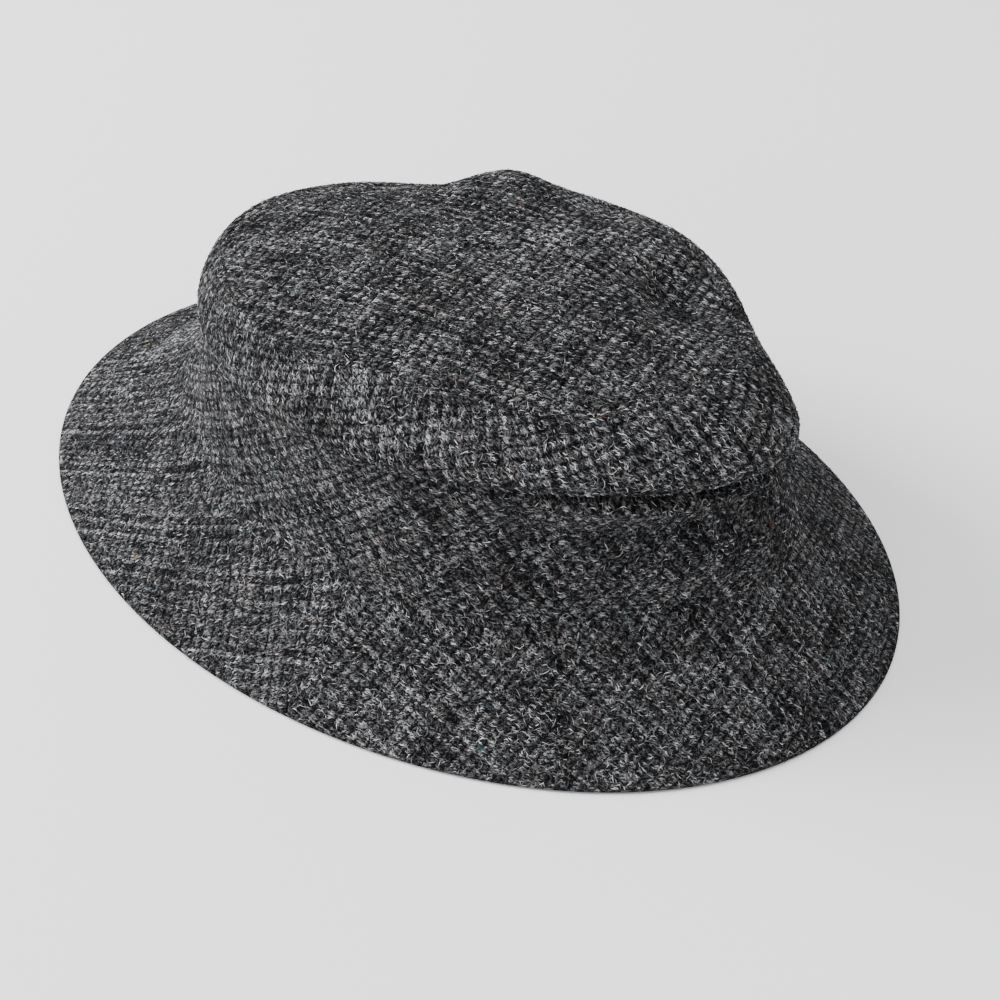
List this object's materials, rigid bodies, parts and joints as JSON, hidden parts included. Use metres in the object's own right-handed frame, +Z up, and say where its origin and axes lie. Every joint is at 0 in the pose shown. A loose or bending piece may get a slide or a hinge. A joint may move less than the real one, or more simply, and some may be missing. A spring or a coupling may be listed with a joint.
{
  "type": "soft tweed walking hat",
  "caption": "Soft round hat: an oval tip and a slouching side panel over a base band, with a brim that slopes down all round.",
  "frame": {"origin": "under the middle of the brim, in the plane on which the brim's edge rests", "axes": "+Z up through the crown, -Y towards the front of the hat, +X towards the wearer's left"},
  "size_m": [0.235, 0.306, 0.1025],
  "materials": {
    "tweed": "napped wool tweed"
  },
  "bodies": {
    "root": {"brim_front": "tweed", "brim_back": "tweed", "base_band": "tweed", "crown_side": "tweed", "crown_tip": "tweed"}
  },
  "joints": []
}
